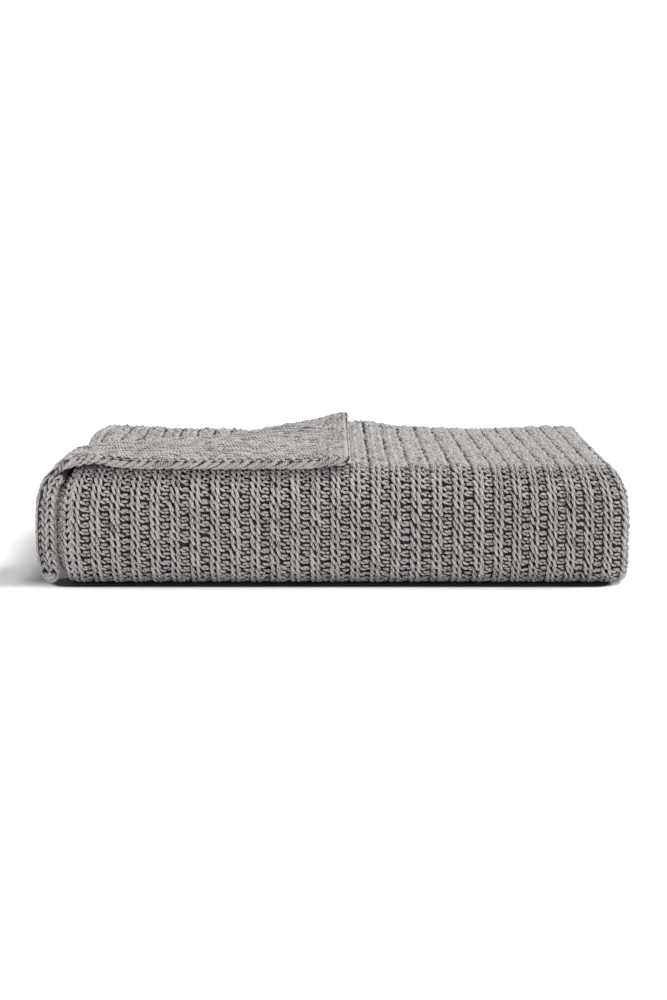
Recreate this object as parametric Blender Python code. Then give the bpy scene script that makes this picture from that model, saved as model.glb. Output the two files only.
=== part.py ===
"""A chunky rib-knit throw, folded in three across its width and then in half twice, so that the last
fold makes the front. The back left corner of its top layer is turned over on the diagonal: it lies on
the stack as a flap, and its end hangs over the left shoulder. Lengths are in metres, +Z is up and the
front faces -Y. It is one piece of cloth, so it is one solid."""

import math

import bmesh
import bpy

# The cloth
CLOTH = 0.0074  # thickness of the knit
PLY = 0.0085  # from one layer to the next: the knit and the air above it
RIB = 0.01724  # width of one rib with its groove
GROOVE = 0.0024  # how deep a groove lies under the ribs' crests
RIB_POINTS = ((0.0, 1.0), (0.2, 0.0), (0.8, 0.0))  # share of a rib, share of the groove's depth

# The folded stack: twelve layers, as a strip of three layers that goes back and forth four times
LEFT_END = -0.240
RIGHT_END = 0.254
BACK = 0.320
STRIP = 3 * PLY
SKIN = PLY + CLOTH / 2  # from the middle of a strip to its outside
TURN = PLY / 2  # radius at which one layer turns into the next
LEFT_TURN = LEFT_END + TURN + CLOTH / 2
RIGHT_TURN = RIGHT_END - TURN - CLOTH / 2
LOW_LEVEL = SKIN  # height of the lowest strip's middle
TOP_LEVEL = LOW_LEVEL + 3 * STRIP
TOP_PLY = TOP_LEVEL + PLY  # height of the top layer's middle
TOP_CORNER = 0.016  # radius at which the strip's middle turns down at the front
BOTTOM_CORNER = 0.0126
INNER_SHORT = 0.006  # how far the strip's inner end stops short of the back
FLAT_FROM, FLAT_TO = 0.030, 0.288  # where the underside has no grooves and lies flat

# The turned corner
FOLD = 0.324  # the diagonal fold runs along y = x + FOLD
FLAP_FRONT = 0.008  # the flap's front edge
FLAP_EDGE = 0.014  # the flap's right edge
FOLD_END = 0.002  # where the diagonal fold ends, just short of the flap's right edge
UNDER_EDGE = 0.004  # front edge of the layer that hangs under the flap
SHOULDER = -0.2322  # where the top layer starts to bend down over the left end
SHOULDER_R = 0.01275  # radius of that bend, at the middle of the top layer
OVERHANG = FLAP_FRONT - FOLD  # how far the top layer reaches to the left, laid out flat
HANG_STRETCH = 1.16  # how much longer the knit gets where it hangs

# Soft unevenness: middle x, middle y, reach in x, reach in y, height
RISES = (
    (-0.250, 0.225, 0.060, 0.075, 0.180),
    (-0.200, 0.335, 0.150, 0.060, 0.100),
    (-0.100, 0.215, 0.090, 0.080, -0.035),
    (-0.110, 0.330, 0.035, 0.060, 0.025),
    (0.045, 0.330, 0.050, 0.080, 0.006),
    (0.155, 0.335, 0.055, 0.110, -0.034),
    (0.180, 0.335, 0.130, 0.120, 0.028),
    (0.160, 0.100, 0.090, 0.100, 0.006),
)
PEAKS = (  # the top layer alone, lifted off the layers under it by the end of the fold
    (0.018, 0.334, 0.030, 0.055, 0.0034),
    (0.036, 0.334, 0.020, 0.045, 0.0036),
)
LIFTS = (  # the flap alone, lifted off the layer that it lies on
    (-0.212, 0.000, 0.020, 0.030, 0.0045),
    (0.004, 0.000, 0.020, 0.030, 0.0032),
    (0.009, 0.330, 0.014, 0.030, 0.0020),
)
END_INSET = 0.012  # how far the topmost layers draw in at both ends, at the front
INSET_FROM = 0.45  # share of the height at which that starts
LOW_INSET = 0.005  # how far the lowest layers draw in at the left
LOW_TO = 0.30  # share of the height up to which they do
FRONT_WAVE = 0.0015
WAVE_LENGTH = 0.30

# How finely the curves are cut
CORNER_STEPS = 4
LOW_CORNER_STEPS = 3
FOLD_STEPS = 4
PLAIN_STEP = 0.070  # between points across a face that has no ribs
BEND_STEPS = 4
HANG_STEPS = 4  # down the part that hangs over the left end
FLAP_MARK = 0.013  # between points near the flap's right edge
FLAP_STEP = 0.036  # between points across the flap and along its rows
TOP_RUN = (0.0, 0.25, 0.48, 0.66, 0.80, 0.91, 1.0)  # shares of the way from front to back


def hill(x, y, rows):
    """The sum of soft round hills, each a row of the tables above."""
    return sum(
        height * math.exp(-(((x - at_x) / reach_x) ** 2) - ((y - at_y) / reach_y) ** 2)
        for at_x, at_y, reach_x, reach_y, height in rows
    )


def settle(point):
    """Gives the even stack its soft unevenness. The underside stays flat."""
    x, y, z = point
    share = z / (TOP_PLY + CLOTH / 2)
    inset = END_INSET * min(1.0, max(0.0, (share - INSET_FROM) / (1 - INSET_FROM)) ** 3) * (1 - y / BACK)
    if x < 0:
        inset += LOW_INSET * max(0.0, 1 - share / LOW_TO)
    narrowed = 1 - inset / RIGHT_END * abs(x / RIGHT_END) ** 3
    wave = FRONT_WAVE * math.sin(2 * math.pi * x / WAVE_LENGTH) * max(0.0, 1 - y / BACK) * min(share, 1)
    return (
        x * narrowed,
        y + wave,
        z * (1 + hill(x, y, RISES)),
    )


def lay(across, back, height, level=0.0):
    """A point of the top layer (level 0), of the flap on it (level 1) or of the fold between them, at a
    height over the top layer's middle. Past the shoulder the cloth hangs down the left end."""
    height += hill(across, back, PEAKS) + level * hill(across, back, LIFTS)
    over = SHOULDER - across
    if over <= 0:
        return settle((across, back, TOP_PLY + height))
    angle = min(over / SHOULDER_R, math.pi / 2)
    down = HANG_STRETCH * max(over - SHOULDER_R * math.pi / 2, 0.0)
    reach = SHOULDER_R + height
    return settle(
        (
            SHOULDER - reach * math.sin(angle),
            back,
            TOP_PLY - SHOULDER_R + reach * math.cos(angle) - down,
        )
    )


class Station:
    """A place along the strip's way: where its middle is, which way its outside faces, and how the
    outer face is cut there."""

    def __init__(self, y, z, out_y, out_z, ribbed=True, groove=1.0, inset=1.0):
        self.y, self.z, self.out_y, self.out_z = y, z, out_y, out_z
        self.ribbed, self.groove, self.inset = ribbed, groove, inset

    def point(self, x, out):
        return settle((x * self.inset, self.y + out * self.out_y, self.z + out * self.out_z))


def bend(centre_y, centre_z, radius, start, end, steps, outside=1, **cut):
    """Stations round a bend, from one angle to the other, without the first."""
    found = []
    for n in range(1, steps + 1):
        angle = math.radians(start + (end - start) * n / steps)
        y, z = math.cos(angle), math.sin(angle)
        place = (centre_y + radius * y, centre_z + radius * z)
        found.append(Station(*place, outside * y, outside * z, **cut))
    return found


def way_of_strip():
    """Stations from the top layer's front bend, down the front, back along the underside, round the
    lower back fold and through the inner fold to the inner end."""
    front = SKIN + TOP_CORNER
    inner_r = STRIP / 2
    inner_front = 2 * (SKIN + inner_r) + PLY - CLOTH
    lower = LOW_LEVEL + BOTTOM_CORNER
    upper = TOP_LEVEL - TOP_CORNER
    hidden = {"ribbed": False, "groove": 0.0, "inset": 0.988}
    way = [Station(front, TOP_LEVEL, 0, 1)]
    way += bend(front, upper, TOP_CORNER, 90, 180, CORNER_STEPS)
    way.append(Station(SKIN, (lower + upper) / 2, -1, 0))
    way.append(Station(SKIN, lower, -1, 0))
    way += bend(SKIN + BOTTOM_CORNER, lower, BOTTOM_CORNER, 180, 270, LOW_CORNER_STEPS)
    inner_run = [top_y(share) for share in TOP_RUN[1:-1]]
    way += [Station(y, LOW_LEVEL, 0, -1, ribbed=False) for y in (FLAT_FROM, *inner_run[:-1], FLAT_TO)]
    way.append(Station(BACK - SKIN - inner_r, LOW_LEVEL, 0, -1))
    way += bend(BACK - SKIN - inner_r, LOW_LEVEL + inner_r, inner_r, 270, 450, FOLD_STEPS)
    way += [Station(y, LOW_LEVEL + STRIP, 0, 1, **hidden) for y in reversed(inner_run[:-1])]
    way.append(Station(inner_front, LOW_LEVEL + STRIP, 0, 1, **hidden))
    middle = LOW_LEVEL + 1.5 * STRIP
    way += bend(inner_front, middle, inner_r, 270, 90, FOLD_STEPS, outside=-1, **hidden)
    way += [Station(y, LOW_LEVEL + 2 * STRIP, 0, -1, **hidden) for y in inner_run]
    way.append(Station(BACK - INNER_SHORT, LOW_LEVEL + 2 * STRIP, 0, -1, **hidden))
    return way


def top_y(share):
    """How far back the top strip is at a share of its way from its front bend to its end."""
    return SKIN + TOP_CORNER + share * (BACK - SKIN - TOP_CORNER)


def rib_columns(start, end, extra=()):
    """(x, groove) from start to end, three for each rib, with the two ends and any extra ones."""
    fixed = sorted({start, end, *extra})
    first = math.floor((start - FLAP_EDGE) / RIB)
    last = math.ceil((end - FLAP_EDGE) / RIB)
    found = [(x, 0.0) for x in fixed]
    for n in range(first, last):
        for share, groove in RIB_POINTS:
            x = FLAP_EDGE + (n + share) * RIB
            if start < x < end and all(abs(x - f) > 0.0016 for f in fixed):
                found.append((x, groove))
    return sorted(found)


def plain_columns(start, end, extra=(), widest=PLAIN_STEP):
    """(x, groove) from start to end, evenly, for a face that has no ribs."""
    marks = sorted({start, end, *(x for x in extra if start < x < end)})
    found = [(marks[0], 0.0)]
    for a, b in zip(marks, marks[1:]):
        steps = max(1, round((b - a) / widest))
        found += [(a + (b - a) * n / steps, 0.0) for n in range(1, steps + 1)]
    return found


def turn_points(centre_x, centre_out, radius, start, end, steps):
    """(angle, x, out) round the end of a layer, both ends included."""
    angles = [math.radians(start + (end - start) * n / steps) for n in range(steps + 1)]
    return [(a, centre_x + radius * math.cos(a), centre_out + radius * math.sin(a)) for a in angles]


def across_strip(side, ribbed, groove, bared=False):
    """The strip's cross-section on one side of the cloth, as five stretches of (key, x, out): the outer
    layer, the turn at the right, the middle layer, the turn at the left and the inner layer. The middle
    layer has its ribs where the turned corner bares it. The keys say which points of two lines match."""
    half = side * CLOTH / 2
    outer = (rib_columns if ribbed and side > 0 else plain_columns)(SHOULDER, RIGHT_TURN)
    middle = plain_columns(LEFT_TURN, RIGHT_TURN, (FOLD_END,))
    if bared:
        middle = rib_columns(LEFT_TURN, FOLD_END) + [(x, depth) for x, depth in middle if x > FOLD_END]
    wide, narrow = 4, 2
    return [
        [(x, x, PLY + half - depth * groove * GROOVE) for x, depth in outer],
        turn_points(RIGHT_TURN, TURN, TURN + half, 90, -90, wide if side > 0 else narrow),
        [(x, x, -half - (depth * groove * GROOVE if bared else 0.0)) for x, depth in reversed(middle)],
        turn_points(LEFT_TURN, -TURN, TURN - half, 90, 270, narrow if side > 0 else wide),
        [(x, x, -PLY + half) for x, _ in plain_columns(LEFT_TURN, RIGHT_END - 0.002)],
    ]


class Skin:
    """The faces of the one closed body, joined where their corners meet."""

    def __init__(self):
        self.mesh = bmesh.new()
        self.corners = {}

    def corner(self, point):
        key = tuple(round(value, 6) for value in point)
        if key not in self.corners:
            self.corners[key] = self.mesh.verts.new(point)
        return self.corners[key]

    def face(self, points):
        corners = []
        for corner in map(self.corner, points):
            if corner not in corners:
                corners.append(corner)
        if len(corners) > 2:
            self.mesh.faces.new(corners)

    def join(self, near, far):
        """Faces between two lines of (key, point) that run the same way. Where they have unlike counts,
        each point goes with the other line's points of nearly the same key."""
        points_a, points_b = ([point for _, point in line] for line in (near, far))
        if len(near) == len(far):
            for n in range(len(near) - 1):
                self.face((points_a[n], points_a[n + 1], points_b[n + 1], points_b[n]))
            return
        way = 1 if near[-1][0] > near[0][0] else -1
        along_a, along_b = ([way * key for key, _ in line] for line in (near, far))
        a = b = 0
        while a < len(near) - 1 or b < len(far) - 1:
            if b == len(far) - 1 or (a < len(near) - 1 and along_a[a + 1] <= along_b[b + 1]):
                self.face((points_a[a], points_a[a + 1], points_b[b]))
                a += 1
            else:
                self.face((points_a[a], points_b[b + 1], points_b[b]))
                b += 1

    def join_all(self, near, far):
        for line_a, line_b in zip(near, far):
            self.join(line_a, line_b)


def fold_line(x):
    """Where the top layer turns over, as its y at a place across the layer."""
    return x + FOLD


def layer_back(x):
    """How far back the top layer reaches before it turns over or ends."""
    return fold_line(x) if x <= FOLD_END else BACK


def layer_front(x):
    """Where the flat part of the top layer begins."""
    return UNDER_EDGE if x < SHOULDER else SKIN + TOP_CORNER


def top_rows(share, columns, side):
    """Points of the top layer at a share of the way from front to back, on one side of the cloth."""
    points = []
    for x, groove in columns:
        y = layer_front(x) + share * (layer_back(x) - layer_front(x))
        at_edge = share == 1 or (share == 0 and x < SHOULDER)
        points.append((x, lay(x, y, side * (CLOTH / 2) - (0 if at_edge else groove * GROOVE))))
    return points


def turned(x, angle, side, groove=0.0):
    """A point of the fold itself: the layer leaves at angle 0 and lies on itself at 180 degrees."""
    bulge, rise = TURN * math.sin(angle), TURN * (1 - math.cos(angle))
    half = side * CLOTH / 2 - groove * GROOVE * side
    out, up = bulge - half * math.sin(angle), rise + half * math.cos(angle)
    slant = math.sqrt(0.5)
    return lay(x - out * slant, fold_line(x) + out * slant, up, (1 - math.cos(angle)) / 2)


def flap_row(x, side, marks, groove=0.0):
    """A row of the flap, from the fold to its right edge: what was a column of the layer runs to the
    right as a row."""
    places = [x, *(mark for mark in marks if x + 0.002 < mark < FLAP_EDGE - 0.002), FLAP_EDGE]
    depths = [0 if place == FLAP_EDGE else groove * GROOVE for place in places]
    row = fold_line(x)
    return [(at, lay(at, row, PLY - side * (CLOTH / 2 - depth), 1.0)) for at, depth in zip(places, depths)]


def places_of(lines, station):
    """Lines of (key, x, out) as lines of (key, point) at a station."""
    return [[(key, station.point(x, out)) for key, x, out in line] for line in lines]


def wrap_section(station):
    """Both sides of the strip at a station of its way."""
    return {
        side: places_of(across_strip(side, station.ribbed, station.groove), station) for side in (1, -1)
    }


def top_section(share, columns):
    """Both sides of the strip along the top. The outer layer has its own shape there, and the two layers
    under it run straight back."""
    station = Station(top_y(share), TOP_LEVEL, 0, 1)
    found = {}
    for side in (1, -1):
        bared = side < 0 and share > 0
        found[side] = places_of(across_strip(side, True, 0.0 if share == 1 else 1.0, bared), station)
        found[side][0] = top_rows(share, columns[side], side)
    return found


def index_of(columns, x):
    return [at for at, _ in columns].index(x)


def close_edge(skin, rows, stretch, place):
    """The narrow face along an edge of the cloth, from one side of it to the other."""
    for near, far in zip(rows, rows[1:]):
        way_round = ((near, 1), (far, 1), (far, -1), (near, -1))
        skin.face([line[side][stretch][place][1] for line, side in way_round])


def build_strip(skin, columns):
    """The strip of three layers, from the end of the top to the inner end. Returns its last row on top."""
    sections = [wrap_section(station) for station in way_of_strip()][1:]
    tops = [top_section(share, columns) for share in TOP_RUN]

    # The top's first row meets the wrap in the columns that go on over the front
    wrap_from = {side: index_of(columns[side], SHOULDER) for side in (1, -1)}
    start = {side: [tops[0][side][0][wrap_from[side] :], *tops[0][side][1:]] for side in (1, -1)}
    for rows in ([start, *sections], tops):
        for near, far in zip(rows, rows[1:]):
            for side in (1, -1):
                skin.join_all(near[side], far[side])

    # The edges at the left of the outer layer and at the right of the inner one
    for rows in ([start, *sections], tops):
        close_edge(skin, rows, 0, 0)
        close_edge(skin, rows, 4, -1)

    # The front edge of the part that hangs over the left end
    skin.join(*(tops[0][side][0][: wrap_from[side] + 1] for side in (1, -1)))

    # The inner end of the strip, and the top's back edge where it isn't turned over
    skin.join_all(sections[-1][1], sections[-1][-1])
    skin.join_all(tops[-1][1][1:], tops[-1][-1][1:])
    last = {side: index_of(columns[side], FOLD_END) for side in (1, -1)}
    skin.join(*(tops[-1][side][0][last[side] :] for side in (1, -1)))
    return {side: tops[-1][side][0][: last[side] + 1] for side in (1, -1)}


def build_flap(skin, edge_row, columns, marks):
    """The fold of the turned corner, and the flap that it ends in."""
    across = {1: columns[-1][: len(edge_row[-1])], -1: columns[1][: len(edge_row[1])]}
    rows = [edge_row]
    for n in range(1, FOLD_STEPS):
        angle = math.pi * n / FOLD_STEPS
        rows.append(
            {
                1: [(x, turned(x, angle, 1)) for x, _ in across[1]],
                -1: [(x, turned(x, angle, -1, groove)) for x, groove in across[-1]],
            }
        )
    flap = {
        1: [flap_row(x, 1, marks) for x, _ in across[1]],
        -1: [flap_row(x, -1, marks, groove) for x, groove in across[-1]],
    }

    def flap_ends(side, place):
        return [(x, row[place][1]) for (x, _), row in zip(across[side], flap[side])]

    rows.append({side: flap_ends(side, 0) for side in (1, -1)})
    for near, far in zip(rows, rows[1:]):
        for side in (1, -1):
            skin.join(near[side], far[side])
        for end in (0, -1):
            skin.face([row[side][end][1] for row, side in ((near, 1), (far, 1), (far, -1), (near, -1))])
    for side in (1, -1):
        for near, far in zip(flap[side], flap[side][1:]):
            skin.join(near, far)
    for end in (0, -1):
        skin.join(flap[1][end], flap[-1][end])
    skin.join(*(flap_ends(side, -1) for side in (1, -1)))


def build_throw():
    bend_marks = [SHOULDER - SHOULDER_R * math.pi / 2 * n / BEND_STEPS for n in range(BEND_STEPS + 1)]
    hanging_marks = [OVERHANG + (bend_marks[-1] - OVERHANG) * n / HANG_STEPS for n in range(1, HANG_STEPS)]
    flap_marks = [FOLD_END - FLAP_MARK * n for n in range(1, 6)]
    plain_marks = (FOLD_END, *hanging_marks, *bend_marks, *flap_marks)
    columns = {
        1: rib_columns(OVERHANG, RIGHT_TURN, (FOLD_END, *bend_marks)),
        -1: plain_columns(OVERHANG, RIGHT_TURN, plain_marks, FLAP_STEP),
    }
    flap_places = plain_columns(SHOULDER, FLAP_EDGE, flap_marks, FLAP_STEP)
    skin = Skin()
    edge_row = build_strip(skin, columns)
    build_flap(skin, edge_row, columns, sorted({*hanging_marks, *bend_marks, *(x for x, _ in flap_places)}))

    bmesh.ops.recalc_face_normals(skin.mesh, faces=skin.mesh.faces)
    bmesh.ops.triangulate(skin.mesh, faces=skin.mesh.faces)
    ends = [[pick(corner.co[n] for corner in skin.mesh.verts) for pick in (min, max)] for n in range(3)]
    to_middle = (-sum(ends[0]) / 2, -sum(ends[1]) / 2, -ends[2][0])
    bmesh.ops.translate(skin.mesh, verts=skin.mesh.verts, vec=to_middle)
    mesh = bpy.data.meshes.new("throw")
    skin.mesh.to_mesh(mesh)
    skin.mesh.free()
    return bpy.data.objects.new("throw", mesh)


def knit_material():
    material = bpy.data.materials.new("throw_knit")
    material.use_nodes = True
    shader = material.node_tree.nodes["Principled BSDF"]
    shader.inputs["Base Color"].default_value = (0.42, 0.40, 0.395, 1.0)
    shader.inputs["Roughness"].default_value = 0.95
    shader.inputs["Metallic"].default_value = 0.0
    return material


def main():
    for item in list(bpy.data.objects):
        bpy.data.objects.remove(item, do_unlink=True)
    throw = build_throw()
    throw.data.materials.append(knit_material())
    throw.data.shade_smooth()
    throw.data.set_sharp_from_angle(angle=math.radians(60))
    bpy.context.scene.collection.objects.link(throw)


main()
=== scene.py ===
import math

import bpy
import numpy as np
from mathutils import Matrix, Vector


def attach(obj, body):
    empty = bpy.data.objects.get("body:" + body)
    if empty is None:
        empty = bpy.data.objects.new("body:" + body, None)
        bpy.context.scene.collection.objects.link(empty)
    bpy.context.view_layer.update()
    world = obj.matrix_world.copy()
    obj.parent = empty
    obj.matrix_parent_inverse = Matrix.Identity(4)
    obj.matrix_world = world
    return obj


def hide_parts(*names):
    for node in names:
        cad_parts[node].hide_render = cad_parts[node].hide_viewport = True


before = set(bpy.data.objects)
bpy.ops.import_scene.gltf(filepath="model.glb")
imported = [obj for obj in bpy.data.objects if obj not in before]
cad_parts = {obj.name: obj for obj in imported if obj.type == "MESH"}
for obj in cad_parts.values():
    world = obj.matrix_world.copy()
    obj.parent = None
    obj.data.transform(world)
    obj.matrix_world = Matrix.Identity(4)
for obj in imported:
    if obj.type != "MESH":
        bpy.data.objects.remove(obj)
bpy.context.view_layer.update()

# The cloth, in metres, as its solid has it
CLOTH = 0.0074  # thickness of the knit
PLY = 0.0085  # from one layer to the next: the knit and the air above it
RIB = 0.01724  # width of one rib with its groove
BAND = 0.029  # width of the plain band at the cloth's end

# The folded stack: twelve layers, as a strip of three layers that goes back and forth four times
LEFT_END = -0.240
RIGHT_END = 0.254
BACK = 0.320
STRIP = 3 * PLY
SKIN = PLY + CLOTH / 2  # from the middle of a strip to its outside
TURN = PLY / 2  # radius at which one layer turns into the next, at its middle
ROUND = TURN + CLOTH / 2  # and at its outside
HALF_TURN = ROUND * math.pi  # the way round such a turn
LEFT_TURN = LEFT_END + ROUND
RIGHT_TURN = RIGHT_END - ROUND
LOW_LEVEL = SKIN  # height of the lowest strip's middle
TOP_LEVEL = LOW_LEVEL + 3 * STRIP
TOP_PLY = TOP_LEVEL + PLY  # height of the top layer's middle
TOP_CORNER = 0.016  # radius at which the strip's middle turns down at the front
BOTTOM_CORNER = 0.0126
INNER_SHORT = 0.006  # how far the strip's inner end stops short of the back
CORNER_STEPS = 24
SHRUNK = 0.988  # width of the inner layers, so that they stay inside the outer ones
TO_MIDDLE = (0.001575, -0.16527, 0.0)  # from the front's foot, where y starts here, to the box's middle

# The turned corner
FOLD = 0.324  # the diagonal fold runs along y = x + FOLD
FLAP_FRONT = 0.008  # the flap's front edge
FLAP_EDGE = 0.014  # the flap's right edge
FOLD_END = 0.002  # where the diagonal fold ends, just short of the flap's right edge
UNDER_EDGE = 0.004  # front edge of the layer that hangs under the flap
SHOULDER = -0.2322  # where the top layer starts to bend down over the left end
SHOULDER_R = 0.01275  # radius of that bend, at the middle of the top layer
OVERHANG = FLAP_FRONT - FOLD  # how far the top layer reaches to the left, laid out flat
HANG_STRETCH = 1.16  # how much longer the knit gets where it hangs

# Soft unevenness: middle x, middle y, reach in x, reach in y, height
RISES = (
    (-0.250, 0.225, 0.060, 0.075, 0.180),
    (-0.200, 0.335, 0.150, 0.060, 0.100),
    (-0.100, 0.215, 0.090, 0.080, -0.035),
    (-0.110, 0.330, 0.035, 0.060, 0.025),
    (0.045, 0.330, 0.050, 0.080, 0.006),
    (0.155, 0.335, 0.055, 0.110, -0.034),
    (0.180, 0.335, 0.130, 0.120, 0.028),
    (0.160, 0.100, 0.090, 0.100, 0.006),
)
PEAKS = (  # the top layer alone, lifted off the layers under it by the end of the fold
    (0.018, 0.334, 0.030, 0.055, 0.0034),
    (0.036, 0.334, 0.020, 0.045, 0.0036),
)
LIFTS = (  # the flap alone, lifted off the layer that it lies on
    (-0.212, 0.000, 0.020, 0.030, 0.0045),
    (0.004, 0.000, 0.020, 0.030, 0.0032),
    (0.009, 0.330, 0.014, 0.030, 0.0020),
)
END_INSET = 0.012  # how far the topmost layers draw in at both ends, at the front
INSET_FROM = 0.45  # share of the height at which that starts
LOW_INSET = 0.005  # how far the lowest layers draw in at the left
LOW_TO = 0.30  # share of the height up to which they do
FRONT_WAVE = 0.0015
WAVE_LENGTH = 0.30

# The stitches, in metres
ROW = 0.0065  # from one row to the next
LONG_ROW = 0.0075  # at the turns and under the throw
TURN_ROW = 0.0066  # in the chain beside the first rib
VEE_STEP = 0.0063  # along the edges
ROPE_STEP = 0.0082  # along the flap's front edge
FILL_STEP = 0.0045  # beside the flap
BAND_PITCH, BAND_ROW = 0.0046, 0.0052
FOLD_PITCH, FOLD_COLUMNS = 0.0029, 110
FOLD_ROW, FOLD_ROWS = 0.0055, 4
PRESSED = 0.0025  # height of the lowest yarn, which the throw's weight squeezes
SHEET_IN = 0.0020  # how far the cloth's faces lie within the solid's, under the yarn
THIN_END = 0.55  # share of its thickness that a strand has at its ends
UNEVEN = 0.35  # share of a row by which neighbouring columns are off level
PLIES = 3.0  # strands twisted into the yarn
TWIST = 3.4  # how many of them pass in a centimetre of it
RIB_PLACES = np.array((  # even places across the ribs, and the places that they have
    (-0.40, 0.0666, 0.0997, 0.1168, 0.1336, 0.1503, 0.1675, 0.1844, 0.2010, 0.2178, 0.2344, 0.2505, 0.30),
    (-0.40, 0.0666, 0.1015, 0.1195, 0.1364, 0.1521, 0.1670, 0.1820, 0.1972, 0.2125, 0.2280, 0.2430, 0.2915),
))
chance = np.random.RandomState(11)


def hill(x, y, rows):
    """Height of the soft rises at a place."""
    return sum(
        height * np.exp(-(((x - at_x) / reach_x) ** 2) - ((y - at_y) / reach_y) ** 2)
        for at_x, at_y, reach_x, reach_y, height in rows
    )


def settle(x, y, z):
    """Gives the even stack its soft unevenness, as the solid has it."""
    share = z / (TOP_PLY + CLOTH / 2)
    inset = np.clip(np.clip((share - INSET_FROM) / (1 - INSET_FROM), 0, None) ** 3, 0, 1)
    inset = END_INSET * inset * (1 - y / BACK)
    inset = inset + np.where(x < 0, LOW_INSET * np.clip(1 - share / LOW_TO, 0, None), 0.0)
    narrowed = 1 - inset / RIGHT_END * np.abs(x / RIGHT_END) ** 3
    front = np.clip(1 - y / BACK, 0, None) * np.clip(share, None, 1)
    wave = FRONT_WAVE * np.sin(2 * math.pi * x / WAVE_LENGTH) * front
    point = np.stack([x * narrowed, y + wave, z * (1 + hill(x, y, RISES))], -1)
    return point + np.array(TO_MIDDLE)


def lay(across, back, height, level=0.0):
    """A point of the top layer (level 0) or of the flap on it (level 1)."""
    height = height + hill(across, back, PEAKS) + level * hill(across, back, LIFTS)
    over = np.clip(SHOULDER - across, 0, None)
    angle = np.clip(over / SHOULDER_R, 0, math.pi / 2)
    down = HANG_STRETCH * np.clip(over - SHOULDER_R * math.pi / 2, 0, None)
    reach = SHOULDER_R + height
    x = np.where(over > 0, SHOULDER - reach * np.sin(angle), across)
    z = np.where(over > 0, TOP_PLY - SHOULDER_R + reach * np.cos(angle) - down, TOP_PLY + height)
    return settle(x, back, z)


def way_of_strip():
    """The strip's way from its outer end to its inner end, and the runs at which parts of it start.

    A row is the run along the strip's outer face, y and z of its middle, and the angle of its outside.
    """
    front = SKIN + TOP_CORNER
    inner = STRIP / 2
    inner_front = 2 * (SKIN + inner) + PLY - CLOTH
    low_back = BACK - SKIN - inner
    rows = [(0.0, BACK, TOP_LEVEL, 90.0)]

    def straight(y, z):
        run, old_y, old_z, angle = rows[-1]
        rows.append((run + math.hypot(y - old_y, z - old_z), y, z, angle))

    def bend(cy, cz, radius, start, end, side=1):
        run, angle = rows[-1][0], rows[-1][3]
        face = max(radius + side * SKIN, radius)
        for n in range(1, CORNER_STEPS + 1):
            turn = (end - start) * n / CORNER_STEPS
            at = math.radians(start + turn)
            y, z = cy + radius * math.cos(at), cz + radius * math.sin(at)
            rows.append((run + face * abs(math.radians(turn)), y, z, angle + turn))

    marks = {}
    straight(front, TOP_LEVEL)
    marks["bend"] = rows[-1][0]
    bend(front, TOP_LEVEL - TOP_CORNER, TOP_CORNER, 90, 180)
    straight(SKIN, LOW_LEVEL + BOTTOM_CORNER)
    bend(SKIN + BOTTOM_CORNER, LOW_LEVEL + BOTTOM_CORNER, BOTTOM_CORNER, 180, 270)
    marks["under"] = rows[-1][0]
    straight(low_back, LOW_LEVEL)
    marks["back"] = rows[-1][0]
    bend(low_back, LOW_LEVEL + inner, inner, 270, 450)
    marks["inside"] = rows[-1][0]
    straight(inner_front, LOW_LEVEL + STRIP)
    bend(inner_front, LOW_LEVEL + 1.5 * STRIP, inner, 270, 90, side=-1)
    straight(BACK - INNER_SHORT, LOW_LEVEL + 2 * STRIP)
    marks["end"] = rows[-1][0]
    return np.array(rows), marks


WAY, MARKS = way_of_strip()


def strip(run, x, out):
    """A point of the strip at a run along its way, a place across it and a height over its middle."""
    y, z, angle = (np.interp(run, WAY[:, 0], WAY[:, n]) for n in (1, 2, 3))
    y = y - np.clip(run, None, 0)
    angle = np.radians(angle)
    width = np.where(run > MARKS["inside"] - 0.004, SHRUNK, 1.0)
    return settle(x * width, y + out * np.cos(angle), z + out * np.sin(angle))


# Faces of the cloth: a is the way across its ribs, b the way along them, h the height over the face
def outer_face(a, b, h):
    """The wrap's outer layer, with its turn at the right."""
    angle = np.clip((a - RIGHT_TURN) / ROUND, 0, None)
    reach = ROUND + h
    x = np.where(angle > 0, RIGHT_TURN + reach * np.sin(angle), a)
    out = np.where(angle > 0, TURN + reach * np.cos(angle), PLY + CLOTH / 2 + h)
    back = np.interp(b, WAY[:, 0], WAY[:, 1]) - np.clip(b, None, 0)
    out = out + np.where(b < MARKS["bend"], hill(a, back, PEAKS), 0)
    return strip(b, x, out)


def ribs_face(a, b, h):
    """The outer layer with its ribs as unevenly spaced as shown: wider, then closer towards the right."""
    return outer_face(np.interp(a, RIB_PLACES[0], RIB_PLACES[1]), b, h)


def middle_face(a, b, h):
    """The middle layer, bared at the back left, with its turn at the left."""
    angle = np.clip((LEFT_TURN - a) / ROUND, 0, None)
    reach = ROUND + h
    x = np.where(angle > 0, LEFT_TURN - reach * np.sin(angle), a)
    out = np.where(angle > 0, -TURN + reach * np.cos(angle), CLOTH / 2 + h)
    return strip(b, x, out)


def flap_face(a, b, h):
    """The turned corner's upper side, whose ribs run across."""
    return lay(b, a, PLY + CLOTH / 2 + h, 1.0)


def band_face(a, b, h):
    """The band along the turned corner's right edge."""
    return lay(a, b, PLY + CLOTH / 2 + h, 1.0)


def fold_face(a, b, h):
    """The diagonal fold: b runs round it."""
    angle = b / ROUND
    out = (ROUND + h) * np.sin(angle)
    up = TURN - (ROUND + h) * np.cos(angle)
    slant = math.sqrt(0.5)
    return lay(a - out * slant, a + FOLD + out * slant, up, (1 - np.cos(angle)) / 2)


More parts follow.
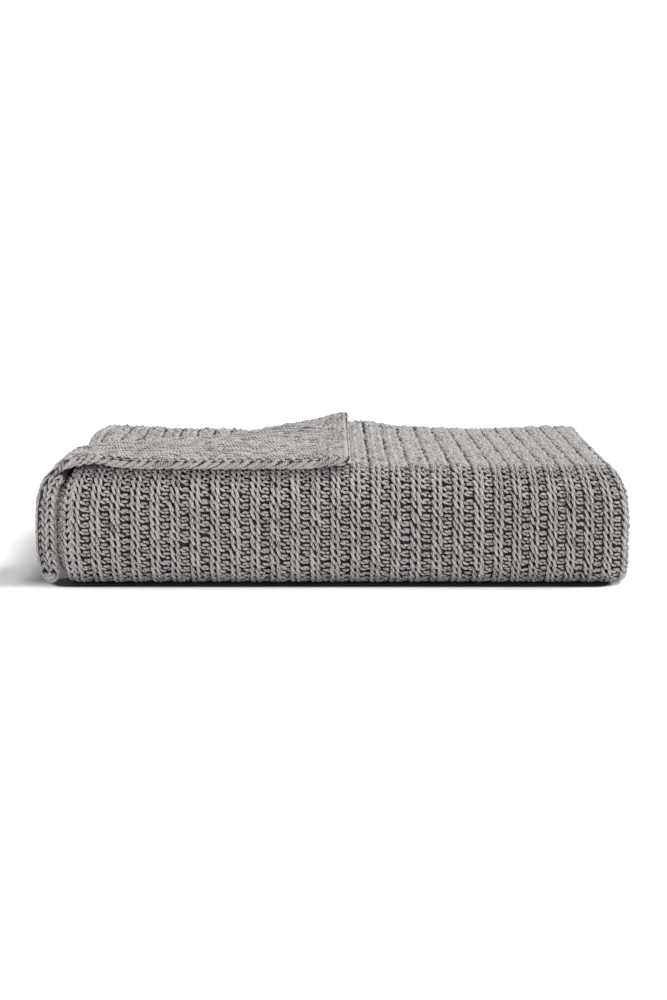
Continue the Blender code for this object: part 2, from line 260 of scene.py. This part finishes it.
def rim(edge):
    """A face round an edge of the cloth: a is the way round it from its top, b the way along it."""

    def face(a, b, h):
        angle = np.clip(a / (CLOTH / 2), 0, math.pi)
        beyond = np.abs(a - angle * CLOTH / 2)
        reach = CLOTH / 2 + h
        return edge(b, reach * np.sin(angle) - CLOTH / 2 - beyond, reach * np.cos(angle))

    return face


# Strands: points as (across, along, height) in millimetres, and a radius
LEGS = (  # the front's ribs
    (((0.9, -1.3, -1.7), (1.6, 0.6, 0.5), (2.7, 3.2, 1.4), (3.8, 5.7, 0.6), (5.0, 7.5, -1.4)), 1.42),
    (((5.6, -1.3, -1.5), (6.6, 0.6, 0.6), (7.4, 3.2, 1.5), (8.1, 5.5, 0.8), (8.8, 7.3, -1.6)), 1.42),
)
BARS = (  # the front's grooves
    (((8.4, 0.8, 0.2), (10.0, 1.9, 0.8), (12.2, 2.9, 0.5), (13.8, 3.4, -1.1)), 1.15),
    (((10.8, 0.3, -1.3), (12.2, -0.2, 0.4), (15.2, -0.2, 0.4), (16.8, 0.3, -1.5)), 1.15),
    (((14.0, 2.5, -2.2), (15.7, 2.6, -1.3), (17.4, 2.5, -2.3)), 1.38),
)
SMOOTH = (  # the top, whose ribs lie flatter
    (((1.6, -1.8, -1.4), (2.5, 1.4, -0.2), (3.8, 4.4, 0.0), (5.2, 7.8, -0.9)), 2.04),
    (((8.8, -1.8, -0.5), (7.7, 1.4, 0.1), (6.4, 4.4, 0.1), (5.1, 7.8, -0.9)), 2.10),
    (((8.4, -1.8, -0.5), (9.5, 1.4, 0.1), (10.8, 4.4, 0.1), (12.1, 7.8, -0.9)), 2.10),
    (((15.7, -1.8, -1.4), (14.7, 1.4, -0.2), (13.4, 4.4, 0.0), (12.0, 7.8, -0.9)), 2.04),
)
CHAINS = (  # the flap
    (((1.6, -3.0, -1.1), (2.2, 1.0, 0.1), (3.0, 5.0, 0.3), (3.8, 9.6, -1.0)), 1.75),
    (((8.0, -3.0, -1.1), (7.4, 1.0, 0.1), (6.6, 5.0, 0.3), (5.6, 9.6, -1.0)), 1.75),
    (((10.2, -3.0, -1.8), (10.8, 1.0, -0.8), (11.6, 5.0, -0.7), (12.4, 9.6, -1.8)), 1.75),
    (((16.2, -3.0, -2.1), (15.6, 1.0, -1.2), (14.8, 5.0, -1.1), (13.8, 9.6, -2.1)), 1.75),
)
ROPE = (  # the flap's front edge
    (((9.8, -3.6, -1.0), (8.2, 0.0, 0.2), (6.0, 4.0, 0.5), (3.8, 7.8, 0.3), (2.4, 10.6, -0.9)), 1.90),
    (((12.6, -2.6, -1.1), (11.4, 1.4, 0.0), (10.2, 5.4, 0.0), (9.0, 9.4, -1.1)), 1.75),
    (((-2.8, -1.2, -1.0), (-1.0, 1.2, 0.4), (1.2, 3.4, 0.7), (3.8, 6.0, -0.3)), 1.55),
)
VEES = (  # other edges
    (((0.4, -1.4, -1.0), (1.9, 1.2, 0.3), (3.7, 4.0, 0.5), (5.2, 7.2, -1.0)), 1.50),
    (((11.2, -1.4, -1.0), (9.7, 1.2, 0.3), (7.9, 4.0, 0.5), (6.4, 7.2, -1.0)), 1.50),
)
UNDER_VEES = VEES + (  # the edge under the flap, which closes the slit beside the first rib
    (((10.6, -1.4, -0.8), (11.6, 1.2, 0.6), (12.6, 4.0, 0.8), (13.6, 7.2, -0.8)), 1.70),
)
EDGE_FILL = ((((-1.2, -1.0, 0.0), (1.2, 1.0, 1.0), (3.6, 3.2, 0.0)), 1.50),)  # beside the flap
SELVEDGE = (  # the side edge of the outer layer
    (((-4.2, -1.4, -1.0), (-3.0, 1.2, 0.3), (-1.4, 4.0, 0.5), (0.2, 7.2, -1.0)), 1.50),
    (((5.4, -1.4, -1.0), (4.2, 1.2, 0.3), (2.6, 4.0, 0.5), (1.2, 7.2, -1.0)), 1.50),
    (((6.6, -1.4, -1.0), (8.2, 1.6, 0.1), (10.0, 5.2, 0.0), (11.6, 8.0, -1.0)), 1.60),
)
BAND_STITCH = (
    (((0.2, -1.2, -0.9), (0.9, 1.2, 0.3), (1.9, 3.8, 0.3), (2.6, 6.4, -0.9)), 1.50),
    (((4.8, -1.0, -0.9), (4.0, 1.4, 0.2), (3.0, 4.0, 0.3), (2.4, 6.6, -0.9)), 1.50),
)
TURN_STITCH = (
    (((0.4, -1.6, -1.1), (1.3, 1.4, 0.2), (2.6, 4.6, 0.4), (3.8, 8.6, -1.1)), 1.65),
    (((9.2, -1.6, -1.1), (8.2, 1.4, 0.2), (6.9, 4.6, 0.4), (5.6, 8.6, -1.1)), 1.65),
)
TURN_CHAIN = (
    (((0.0, -1.4, -1.0), (1.4, 1.2, 0.7), (3.2, 4.2, 1.0), (4.6, 7.6, -0.8)), 1.40),
    (((9.8, -1.4, -1.0), (8.4, 1.2, 0.7), (6.6, 4.2, 1.0), (5.2, 7.6, -0.8)), 1.40),
)
GROOVE_FILL = ((((14.8, 1.0, -0.9), (17.2, 2.6, 0.6), (19.6, 3.6, -0.9)), 1.3),)  # here and there on the top
LOW_VEES = (  # the flap's right edge
    (((-1.6, -1.4, -1.2), (-0.4, 1.2, -0.3), (1.4, 4.0, -0.2), (2.8, 7.2, -1.3)), 1.45),
    (((8.2, -1.4, -1.2), (7.0, 1.2, -0.3), (5.2, 4.0, -0.2), (3.8, 7.2, -1.3)), 1.45),
)
COARSE = (  # the underside
    (((0.9, -1.5, -1.0), (2.4, 3.0, 0.6), (3.6, 8.0, -1.0)), 1.70),
    (((8.3, -1.5, -1.0), (7.2, 3.0, 0.6), (6.0, 8.0, -1.0)), 1.70),
    (((8.6, 2.6, -1.2), (12.4, 1.4, -0.2), (16.6, 2.6, -1.4)), 1.90),
)
FOLD_STITCH = ((((0.0, -1.0, -0.9), (0.4, 1.6, 0.2), (1.0, 4.6, 0.2), (1.4, 8.0, -0.9)), 1.60),)
TIP_RADII = (1.4, 4.4, 7.4)  # of the strands that close the hanging corner's tip


def put(name, data):
    """A new object in the scene."""
    made = bpy.data.objects.new(name, data)
    bpy.context.scene.collection.objects.link(made)
    return made


def strand_lines(cells, strands, steps, wobble):
    """The strands' middle lines at all cells, and the radius at each of their points."""
    count = len(cells)
    lines, radii = [], []
    taper = np.ones(steps + 1)
    taper[[0, -1]] = THIN_END
    for points, radius in strands:
        points = np.array(points) / 1000
        at = np.linspace(0, len(points) - 1, steps + 1)
        smooth = np.stack([np.interp(at, range(len(points)), points[:, n]) for n in range(3)], -1)
        smooth[1:-1] = (smooth[:-2] + 2 * smooth[1:-1] + smooth[2:]) / 4
        line = np.repeat(smooth[None], count, 0)
        line[:, :, :2] += cells[:, None, :]
        line += chance.normal(0, wobble / 1000, (count, 1, 3)) * (1, 1, 0.6)
        line[:, 1:-1] += chance.normal(0, wobble / 3000, (count, steps - 1, 3))
        lines.append(line)
        radii.append(radius / 1000 * taper[None] * chance.normal(1, 0.06, (count, 1)))
    return np.concatenate(lines), np.concatenate(radii)


def tube_points(line, radius, sides):
    """Rings of points round the lines."""
    along = np.gradient(line, axis=1)
    along /= np.linalg.norm(along, axis=-1, keepdims=True)
    side = np.cross(along, (0, 0, 1.0))
    side /= np.linalg.norm(side, axis=-1, keepdims=True)
    up = np.cross(side, along)
    angles = np.arange(sides) * 2 * math.pi / sides
    ring = np.cos(angles)[:, None] * up[:, :, None] + np.sin(angles)[:, None] * side[:, :, None]
    return line[:, :, None] + radius[:, :, None, None] * ring


def pressed(points):
    """The yarn that the throw rests on, pressed flat so that none of it is under the floor."""
    low = np.minimum(points[:, 2], PRESSED)
    points[:, 2] += PRESSED * np.exp(low / PRESSED - 1) - low
    return points


def tube_faces(total, rings, sides):
    """The tubes' quads along them, and the caps at their two ends."""
    start = np.arange(total)[:, None, None] * rings * sides
    here = start + np.arange(rings - 1)[:, None] * sides
    this, following = np.arange(sides), (np.arange(sides) + 1) % sides
    quads = np.stack([here + this, here + following, here + sides + following, here + sides + this], -1)
    first = start[:, 0] + this[::-1]
    last = start[:, 0] + (rings - 1) * sides + this
    return quads.reshape(-1, 4), np.concatenate([first, last])


def yarn_uv(line, quads, caps, sides):
    """The way along the yarn in centimetres, and the share of the way round it."""
    total, rings = line.shape[:2]
    parts = np.linalg.norm(np.diff(line, axis=1), axis=-1)
    length = np.concatenate([np.zeros((total, 1)), np.cumsum(parts, 1)], 1) * 100
    length += chance.uniform(0, 5, (total, 1))
    u = np.broadcast_to(length[:, :, None], (total, rings, sides)).reshape(-1)
    this = np.arange(sides)
    v = np.stack([this, this + 1, this + 1, this], -1) / sides
    v = np.broadcast_to(v, (total, rings - 1, sides, 4)).reshape(-1, 4)
    along_tubes = np.stack([u[quads], v], -1).reshape(-1, 2)
    on_caps = np.stack([u[caps], np.full(caps.shape, 0.5)], -1).reshape(-1, 2)
    return np.concatenate([along_tubes, on_caps])


def knit(name, face, cells, strands, steps=6, sides=6, wobble=0.3, mottle=0.09, tone_and_shade=1.0):
    """Yarn on a face: each cell, as (across, along), gets the strands as closed tubes.

    The wobble is in millimetres, and the mottle is how much the strands' tones differ at random. The
    tone_and_shade sets a piece's mean tone: below 1 it is painted shade, for pieces that get less light.
    """
    line, radius = strand_lines(np.array(cells), strands, steps, wobble)
    place = tube_points(line, radius, sides)
    points = pressed(face(place[..., 0], place[..., 1], place[..., 2]).reshape(-1, 3))
    total, rings = line.shape[:2]
    quads, caps = tube_faces(total, rings, sides)
    uv = yarn_uv(line, quads, caps, sides)
    tones = np.repeat(chance.normal(tone_and_shade, mottle, total), rings * sides)

    mesh = bpy.data.meshes.new(name)
    mesh.vertices.add(len(points))
    mesh.vertices.foreach_set("co", points.astype(np.float32).ravel())
    corners = np.concatenate([quads.ravel(), caps.ravel()])
    mesh.loops.add(len(corners))
    mesh.loops.foreach_set("vertex_index", corners.astype(np.int32))
    sizes = np.concatenate([np.full(len(quads), 4), np.full(len(caps), sides)])
    starts = np.concatenate([[0], np.cumsum(sizes)[:-1]])
    mesh.polygons.add(len(sizes))
    mesh.polygons.foreach_set("loop_start", starts.astype(np.int32))
    mesh.uv_layers.new(name="yarn").data.foreach_set("uv", uv.astype(np.float32).ravel())
    mesh.attributes.new("tone_and_shade", "FLOAT", "POINT").data.foreach_set("value", tones.astype(np.float32))
    mesh.update(calc_edges=True)
    mesh.validate()
    mesh.shade_smooth()
    mesh.materials.append(YARN)
    return put(name, mesh)


def grid(a_from, a_to, b_from, b_to, keep=lambda a, b: True, pitch=RIB, step=ROW, start=FLAP_EDGE):
    """Cells whose middles lie in the given stretch."""
    cells = []
    for n in range(math.floor((a_from - start) / pitch) - 1, math.ceil((a_to - start) / pitch) + 1):
        a = start + n * pitch
        if not a_from <= a + pitch / 2 <= a_to:
            continue
        shift = chance.uniform(-UNEVEN, UNEVEN) * step
        rows = int((b_to - b_from) / step) + 2
        for m in range(-1, rows):
            b = b_from + m * step + shift
            if b_from <= b + step / 2 <= b_to and keep(a + pitch / 2, b + step / 2):
                cells.append((a, b))
    return cells


def some(cells, share):
    """Some of the cells, picked by chance."""
    return [cell for cell in cells if chance.uniform() < share]


def new_material(name):
    """A material, its node tree and its shader."""
    material = bpy.data.materials.new(name)
    material.use_nodes = True
    tree = material.node_tree
    return material, tree, tree.nodes["Principled BSDF"]


def set_inputs(node, **values):
    """Sets sockets by name, with _ for a space."""
    for key, value in values.items():
        node.inputs[key.replace("_", " ")].default_value = value


def noise(tree, scale, detail):
    """Noise over the object's own coordinates."""
    place = tree.nodes.new("ShaderNodeTexCoord")
    made = tree.nodes.new("ShaderNodeTexNoise")
    set_inputs(made, Scale=scale, Detail=detail)
    tree.links.new(place.outputs["Object"], made.inputs["Vector"])
    return made.outputs[0]


def colour_and_relief(tree, shader, value, stops, height, strength, distance):
    """Colours a shader by a value, between (place, colour) stops, and gives it a bumpy relief."""
    ramp = tree.nodes.new("ShaderNodeValToRGB")
    for element, (place, colour) in zip(ramp.color_ramp.elements, stops):
        element.position = place
        element.color = (*colour, 1)
    bump = tree.nodes.new("ShaderNodeBump")
    set_inputs(bump, Strength=strength, Distance=distance)
    tree.links.new(value, ramp.inputs[0])
    tree.links.new(ramp.outputs[0], shader.inputs["Base Color"])
    tree.links.new(height, bump.inputs["Height"])
    tree.links.new(bump.outputs[0], shader.inputs["Normal"])


def yarn_material():
    """Plied yarn: turns of its plies, as relief and as painted highlights and shade in the colour, fine
    fibres, and a tone for each strand, random and, for some pieces, painted shade.
    """
    material, tree, shader = new_material("plied_yarn")

    def maths(operation, *values):
        node = tree.nodes.new("ShaderNodeMath")
        node.operation = operation
        for socket, value in zip(node.inputs, values):
            if isinstance(value, (int, float)):
                socket.default_value = value
            else:
                tree.links.new(value, socket)
        return node.outputs[0]

    uv = tree.nodes.new("ShaderNodeUVMap")
    uv.uv_map = "yarn"
    parts = tree.nodes.new("ShaderNodeSeparateXYZ")
    tree.links.new(uv.outputs[0], parts.inputs[0])
    tone_and_shade = tree.nodes.new("ShaderNodeAttribute")
    tone_and_shade.attribute_name = "tone_and_shade"
    turns = maths("MULTIPLY_ADD", parts.outputs[0], TWIST, maths("MULTIPLY", parts.outputs[1], PLIES))
    ply = maths("SINE", maths("MULTIPLY", turns, 2 * math.pi))
    fibre = noise(tree, 1500, 2)
    cloud = noise(tree, 60, 3)
    # The plies' turns lighten and darken the colour: painted highlights and shade along the twist, on top of
    # their relief
    shade = maths("MULTIPLY_ADD", ply, 0.20, tone_and_shade.outputs["Fac"])
    shade = maths("MULTIPLY_ADD", maths("SUBTRACT", fibre, 0.5), 0.45, shade)
    shade = maths("MULTIPLY_ADD", maths("SUBTRACT", cloud, 0.5), 0.30, shade)
    colours = ((0.55, (0.105, 0.096, 0.093)), (1.0, (0.530, 0.496, 0.487)))
    colour_and_relief(tree, shader, shade, colours, maths("MULTIPLY_ADD", fibre, 0.8, ply), 0.55, 0.0007)
    set_inputs(shader, Roughness=0.92, Specular_IOR_Level=0.2, Sheen_Weight=0.1, Sheen_Roughness=0.5)
    return material


def painted_shade_ground_material():
    """The cloth between the strands, coloured near black: painted shade for the gaps between them."""
    material, tree, shader = new_material("knit_ground_painted_shade")
    grain = noise(tree, 700, 3)
    colours = ((0.0, (0.012, 0.011, 0.011)), (1.0, (0.07, 0.065, 0.063)))
    colour_and_relief(tree, shader, grain, colours, grain, 0.6, 0.0008)
    set_inputs(shader, Roughness=0.95)
    return material


YARN = yarn_material()

# The cloth itself: the folded sheet, a little thinner than the knit because the yarn lies on it
sheet = put("cloth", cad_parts["throw"].data.copy())
spots = np.empty(len(sheet.data.vertices) * 3, np.float32)
normals = np.empty_like(spots)
sheet.data.vertices.foreach_get("co", spots)
sheet.data.vertices.foreach_get("normal", normals)
sheet.data.vertices.foreach_set("co", spots - SHEET_IN * normals)
sheet.data.update()
# The sheet's near-black colour is painted shade, standing for the shadowed gaps between the strands
sheet.data.materials.clear()
sheet.data.materials.append(painted_shade_ground_material())
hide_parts("throw")

# Where the yarn's pieces start and end
bend, under, back, inside, end = (MARKS[key] for key in ("bend", "under", "back", "inside", "end"))
coarse_from, coarse_to = under + 0.012, back - 0.012  # the coarser stitches of the underside
front_reach = RIGHT_TURN + 0.028  # how far round the turn at the right the evenly spaced ribs would go
top_reach = RIGHT_TURN + 0.032
under_reach = RIGHT_TURN + 0.014
seam = FLAP_EDGE - BAND
first_rib = FLAP_EDGE - 14 * RIB
turn_pitch = (first_rib - LEFT_TURN + HALF_TURN) / 3  # three columns fill the turn up to the first rib
shoulder_end = SHOULDER - 0.014  # where the flap's front edge changes from a rope to a chain

front_cells = grid(SHOULDER, front_reach, bend - 0.002, coarse_from)
top_cells = grid(FLAP_EDGE - 0.02, top_reach, 0.0, bend)
fold_cells = grid(SHOULDER, front_reach, coarse_to, inside - 0.002)
turn_cells = [
    [(LEFT_TURN - HALF_TURN + column * turn_pitch, step * n) for n in range(int(end / step))]
    for column, step in enumerate((LONG_ROW, LONG_ROW, TURN_ROW))
]

# The yarn on the faces
# Pieces with a tone below 1 (beside the flap, the flap, the band, the bared layer) are darker as painted
# shade, where less light falls
yarn = [
    knit("yarn_front_legs", ribs_face, front_cells, LEGS, wobble=0.32),
    knit("yarn_front_bars", ribs_face, front_cells, BARS, steps=4, sides=5, wobble=0.4),
    knit("yarn_top", ribs_face, top_cells, SMOOTH, steps=4, sides=5, wobble=0.6, mottle=0.12),
    knit(
        "yarn_top_grooves", ribs_face, some(top_cells, 0.3), GROOVE_FILL,
        steps=3, sides=4, wobble=0.7, mottle=0.1,
    ),
    knit(
        "yarn_beside_flap", ribs_face,
        [(FLAP_EDGE, FILL_STEP * n) for n in range(round(bend / FILL_STEP))],
        EDGE_FILL, steps=4, sides=5, wobble=0.5, mottle=0.12, tone_and_shade=0.95,
    ),
    knit(
        "yarn_flap", flap_face,
        grid(
            FLAP_FRONT + 0.004, FOLD + FLAP_EDGE, OVERHANG, seam + 0.003,
            lambda a, b: b > a - FOLD - 0.002, start=FOLD + FLAP_EDGE,
        ),
        CHAINS, steps=4, sides=5, wobble=0.35, mottle=0.17, tone_and_shade=0.93,
    ),
    knit(
        "yarn_band", band_face,
        grid(
            seam + 0.0008, FLAP_EDGE - 0.0035, FLAP_FRONT + 0.003, BACK + 0.004,
            lambda a, b: b < a + FOLD + 0.002, BAND_PITCH, BAND_ROW, seam + 0.0012,
        ),
        BAND_STITCH, steps=4, sides=5, wobble=0.6, mottle=0.15, tone_and_shade=0.90,
    ),
    knit(
        "yarn_bared", middle_face,
        grid(LEFT_TURN, FOLD_END, 0.0, bend, lambda a, b: BACK - b > a + FOLD - 0.004),
        SMOOTH, steps=4, sides=5, wobble=0.5, mottle=0.11, tone_and_shade=0.90,
    ),
    knit("yarn_left_turn", middle_face, turn_cells[0] + turn_cells[1], TURN_STITCH, steps=4, sides=5),
    knit("yarn_left_chain", middle_face, turn_cells[2], TURN_CHAIN, steps=5),
    knit(
        "yarn_right_turn", outer_face,
        grid(
            RIGHT_TURN, RIGHT_TURN + HALF_TURN, coarse_from, end,
            pitch=HALF_TURN / 2.5, step=LONG_ROW, start=RIGHT_TURN,
        ),
        TURN_STITCH, steps=4, sides=5,
    ),
    knit("yarn_back_fold", ribs_face, fold_cells, LEGS + BARS, steps=4, sides=5),
    knit(
        "yarn_under", ribs_face,
        grid(SHOULDER, under_reach, coarse_from, coarse_to, step=LONG_ROW),
        COARSE, steps=3, sides=4,
    ),
    knit(
        "yarn_fold", fold_face,
        [
            (OVERHANG + FOLD_PITCH * n, 0.0005 + FOLD_ROW * m)
            for n in range(FOLD_COLUMNS)
            for m in range(FOLD_ROWS)
        ],
        FOLD_STITCH, steps=4, sides=5,
    ),
]


def edging(name, edge, start, stop, strands=VEES, step=VEE_STEP):
    """A chain along an edge, which is a function of the way along it, out over it and up from it."""
    count = max(1, round((stop - start) / step))
    cells = [(0.0, start + (stop - start) * n / count) for n in range(count)]
    return knit(name, rim(edge), cells, strands, steps=5, sides=5, wobble=0.25)


def flap_front(b, e, h):
    return lay(b, FLAP_FRONT - e, PLY + h, 1.0)


def flap_back(b, e, h):
    return lay(b, FOLD + FOLD_END + e, PLY + h, 1.0)


def flap_side(b, e, h):
    return lay(FLAP_EDGE + e, b, PLY + h, 1.0)


def under_edge(b, e, h):
    return lay(b, UNDER_EDGE - e, h)


def tip_face(a, b, h):
    """The end of the diagonal fold, at the tip of the hanging corner: a runs across it, b down it."""
    return lay(OVERHANG - b, FLAP_FRONT - h, TURN + a, 0.5)


def arc(radius, points=7):
    """Half a circle on a face, in millimetres."""
    angles = [math.pi * n / (points - 1) for n in range(points)]
    return tuple((radius * math.cos(angle), radius * math.sin(angle), 0.2) for angle in angles)


def turned(face, run, side):
    """The end of a layer where it turns into the next: at the strip's start or at its end."""
    return lambda b, e, h: face(b, run + side * e, h - CLOTH / 2)


# The edges
yarn += [
    edging("edge_flap_front", flap_front, shoulder_end, FLAP_EDGE - 0.004, ROPE, ROPE_STEP),
    edging("edge_flap_hanging", flap_front, OVERHANG, shoulder_end, VEES, VEE_STEP / HANG_STRETCH),
    edging("edge_flap_back", flap_back, FOLD_END - 0.004, FLAP_EDGE),
    knit("edge_tip", tip_face, [(0.0, 0.0)], [(arc(radius), 1.6) for radius in TIP_RADII], wobble=0.1),
    edging("edge_flap_end", flap_side, FLAP_FRONT, FOLD + FOLD_END, LOW_VEES),
    edging("edge_under", under_edge, OVERHANG, SHOULDER - 0.009, UNDER_VEES, VEE_STEP / HANG_STRETCH),
    edging("edge_top_back", lambda b, e, h: lay(b, BACK + e, h), FOLD_END - 0.004, RIGHT_TURN),
    edging("edge_left_turn_back", turned(middle_face, 0.0, -1), LEFT_TURN - HALF_TURN, LEFT_TURN),
    edging("edge_left_turn_end", turned(middle_face, end, 1), LEFT_TURN - HALF_TURN, LEFT_TURN),
    edging("edge_right_turn_back", turned(outer_face, 0.0, -1), RIGHT_TURN, RIGHT_TURN + HALF_TURN),
    edging("edge_right_turn_end", turned(outer_face, end, 1), RIGHT_TURN, RIGHT_TURN + HALF_TURN),
    edging("edge_middle_back", lambda b, e, h: strip(-e, b, h), LEFT_TURN, RIGHT_TURN),
    edging("edge_lower_back", lambda b, e, h: strip(-e, b, h - PLY), LEFT_TURN, RIGHT_END),
    edging("edge_inner_side", lambda b, e, h: strip(b, RIGHT_END - 0.002 + e, h - PLY), 0.0, end),
    edging("edge_outer_side", lambda b, e, h: strip(b, SHOULDER - e, h + PLY), bend, end, SELVEDGE),
    edging("edge_end_outer", lambda b, e, h: strip(end + e, b, h + PLY), SHOULDER, RIGHT_TURN),
    edging("edge_end_middle", lambda b, e, h: strip(end + e, b, h), LEFT_TURN, RIGHT_TURN),
    edging("edge_end_inner", lambda b, e, h: strip(end + e, b, h - PLY), LEFT_TURN, RIGHT_END),
]
for piece in yarn:
    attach(piece, "root")
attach(sheet, "root")

# Painted shadows in the floor's colour: a dark contact shadow under the front and a soft cast shadow at the
# left. For each, a rectangle's middle and half size, how far past it the shade starts and ends to fade, and
# how light the floor is in it
PAINTED_SHADOW_UNDER_FRONT = ((0, -0.148, 0), (0.226, 0.003, 0), 0.0145, 0.0215, 0.02)
PAINTED_SHADOW_AT_LEFT = ((-0.016, -0.075, 0), (0.234, 0.060, 0), 0.0, 0.036, 0.25)
PAINTED_SHADOW_DARK, FLOOR_PALE = (0.01, 0.01, 0.01, 1), (0.94, 0.94, 0.94, 1)


def floor_material():
    """Pale, with painted shadows in its colour: a narrow dark contact shadow under the front and a soft
    shadow at the left.
    """
    material, tree, shader = new_material("pale_floor_painted_shadows")
    place = tree.nodes.new("ShaderNodeTexCoord")

    def vector(operation, *values):
        made = tree.nodes.new("ShaderNodeVectorMath")
        made.operation = operation
        for socket, value in zip(made.inputs, values):
            if isinstance(value, tuple):
                socket.default_value = value
            else:
                tree.links.new(value, socket)
        return made.outputs["Value" if operation == "LENGTH" else "Vector"]

    def falloff(centre, half, near, far, low):
        """How light a painted shadow leaves the floor: low at a rectangle of it, and 1 farther away."""
        past = vector("ABSOLUTE", vector("SUBTRACT", place.outputs["Object"], centre))
        past = vector("MAXIMUM", vector("SUBTRACT", past, half), (0, 0, 0))
        shade = tree.nodes.new("ShaderNodeMapRange")
        shade.interpolation_type = "SMOOTHSTEP"
        set_inputs(shade, From_Min=near, From_Max=far, To_Min=low)
        tree.links.new(vector("LENGTH", past), shade.inputs["Value"])
        return shade.outputs[0]

    # Both painted shadows, multiplied together
    painted_shadows = tree.nodes.new("ShaderNodeMath")
    painted_shadows.operation = "MULTIPLY"
    tree.links.new(falloff(*PAINTED_SHADOW_UNDER_FRONT), painted_shadows.inputs[0])
    tree.links.new(falloff(*PAINTED_SHADOW_AT_LEFT), painted_shadows.inputs[1])
    tint = tree.nodes.new("ShaderNodeMix")
    tint.data_type = "RGBA"
    tint.inputs[6].default_value = PAINTED_SHADOW_DARK
    tint.inputs[7].default_value = FLOOR_PALE
    tree.links.new(painted_shadows.outputs[0], tint.inputs[0])
    tree.links.new(tint.outputs[2], shader.inputs["Base Color"])
    # The painted shadows darken the floor's faint glow as well as its colour
    tree.links.new(tint.outputs[2], shader.inputs["Emission Color"])
    set_inputs(shader, Roughness=0.7, Specular_IOR_Level=0.1, Emission_Strength=0.12)
    return material


# The floor, and a low white wall far off all round, so that the ground fades into white
FLOOR_HALF = 8
WALL_RADIUS = 7.9
WALL_FROM, WALL_TO = -0.01, 2.6
WALL_PARTS = 64
floor_mesh = bpy.data.meshes.new("floor")
floor_corners = [(x * FLOOR_HALF, y * FLOOR_HALF, 0) for x, y in ((-1, -1), (1, -1), (1, 1), (-1, 1))]
floor_mesh.from_pydata(floor_corners, [], [(0, 1, 2, 3)])
floor_mesh.materials.append(floor_material())
floor = put("floor", floor_mesh)

wall_angles = [2 * math.pi * n / WALL_PARTS for n in range(WALL_PARTS)]
wall_faces = []
for n in range(WALL_PARTS):
    following = (n + 1) % WALL_PARTS
    wall_faces.append((n, following, WALL_PARTS + following, WALL_PARTS + n))
wall_mesh = bpy.data.meshes.new("backdrop")
wall_mesh.from_pydata(
    [
        (WALL_RADIUS * math.cos(angle), WALL_RADIUS * math.sin(angle), z)
        for z in (WALL_FROM, WALL_TO)
        for angle in wall_angles
    ],
    [],
    wall_faces,
)
wall_material, _, wall_shader = new_material("white_wall")
set_inputs(wall_shader, Base_Color=(0.9, 0.9, 0.9, 1), Emission_Color=(1, 1, 1, 1), Emission_Strength=0.7)
wall_mesh.materials.append(wall_material)
wall = put("backdrop", wall_mesh)

# Soft light from all round, and a wide key light from above, the right and a little behind
WORLD_LIGHT = 0.42
KEY_LIGHT = 3.0
KEY_WIDTH = 22  # in degrees
KEY_FROM = (0.76, 0.10, 1.0)
world = bpy.data.worlds.new("studio")
world.use_nodes = True
set_inputs(world.node_tree.nodes["Background"], Color=(1, 1, 1, 1), Strength=WORLD_LIGHT)
bpy.context.scene.world = world
sun = bpy.data.lights.new("key", "SUN")
sun.energy = KEY_LIGHT
sun.angle = math.radians(KEY_WIDTH)
key = put("key", sun)
key.rotation_euler = Vector(KEY_FROM).to_track_quat("Z", "Y").to_euler()

# The camera, at the photograph's angle
CAMERA = (0.0, -1.333, 0.287)  # from the front's foot, like the sizes of the folded stack
PITCH = math.radians(9.016)
FOCUS = 1575  # in pixels of the photograph's frame
FRAME_HEIGHT = 1000  # in the same pixels
SENSOR = 36
camera_data = bpy.data.cameras.new("camera")
camera_data.sensor_width = SENSOR
camera_data.lens = FOCUS / FRAME_HEIGHT * SENSOR
camera_data.clip_end = 50
camera = put("camera", camera_data)
camera.location = Vector(CAMERA) + Vector(TO_MIDDLE)
camera.rotation_euler = (math.pi / 2 - PITCH, 0, 0)
bpy.context.scene.camera = camera
bpy.context.scene.view_settings.view_transform = "Standard"
